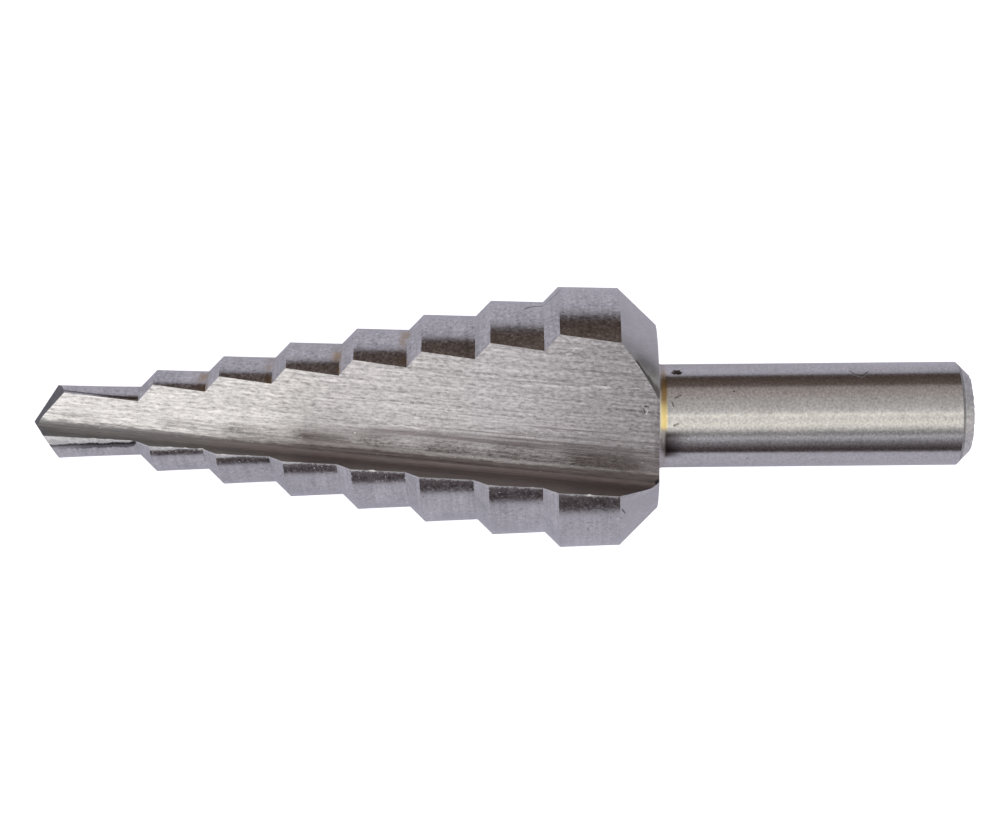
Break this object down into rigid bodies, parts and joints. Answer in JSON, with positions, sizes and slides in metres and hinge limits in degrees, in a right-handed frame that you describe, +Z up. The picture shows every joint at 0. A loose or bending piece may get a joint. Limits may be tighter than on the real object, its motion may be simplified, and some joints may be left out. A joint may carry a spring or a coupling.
{
  "type": "step drill",
  "caption": "Step drill: a head of stepped cylinders that rise from a faceted point, straight V flutes and a plain round shank.",
  "frame": {"origin": "centre of the tool's footprint at the surface it lies on", "axes": "+X from the point towards the shank end, +Z up with the tool lying on the edges of its lower flute"},
  "size_m": [0.0706, 0.0198, 0.0169],
  "materials": {
    "ground_steel": "ground, bare, lightly tinted by heat"
  },
  "bodies": {
    "root": {"step_drill": "ground_steel"}
  },
  "joints": []
}
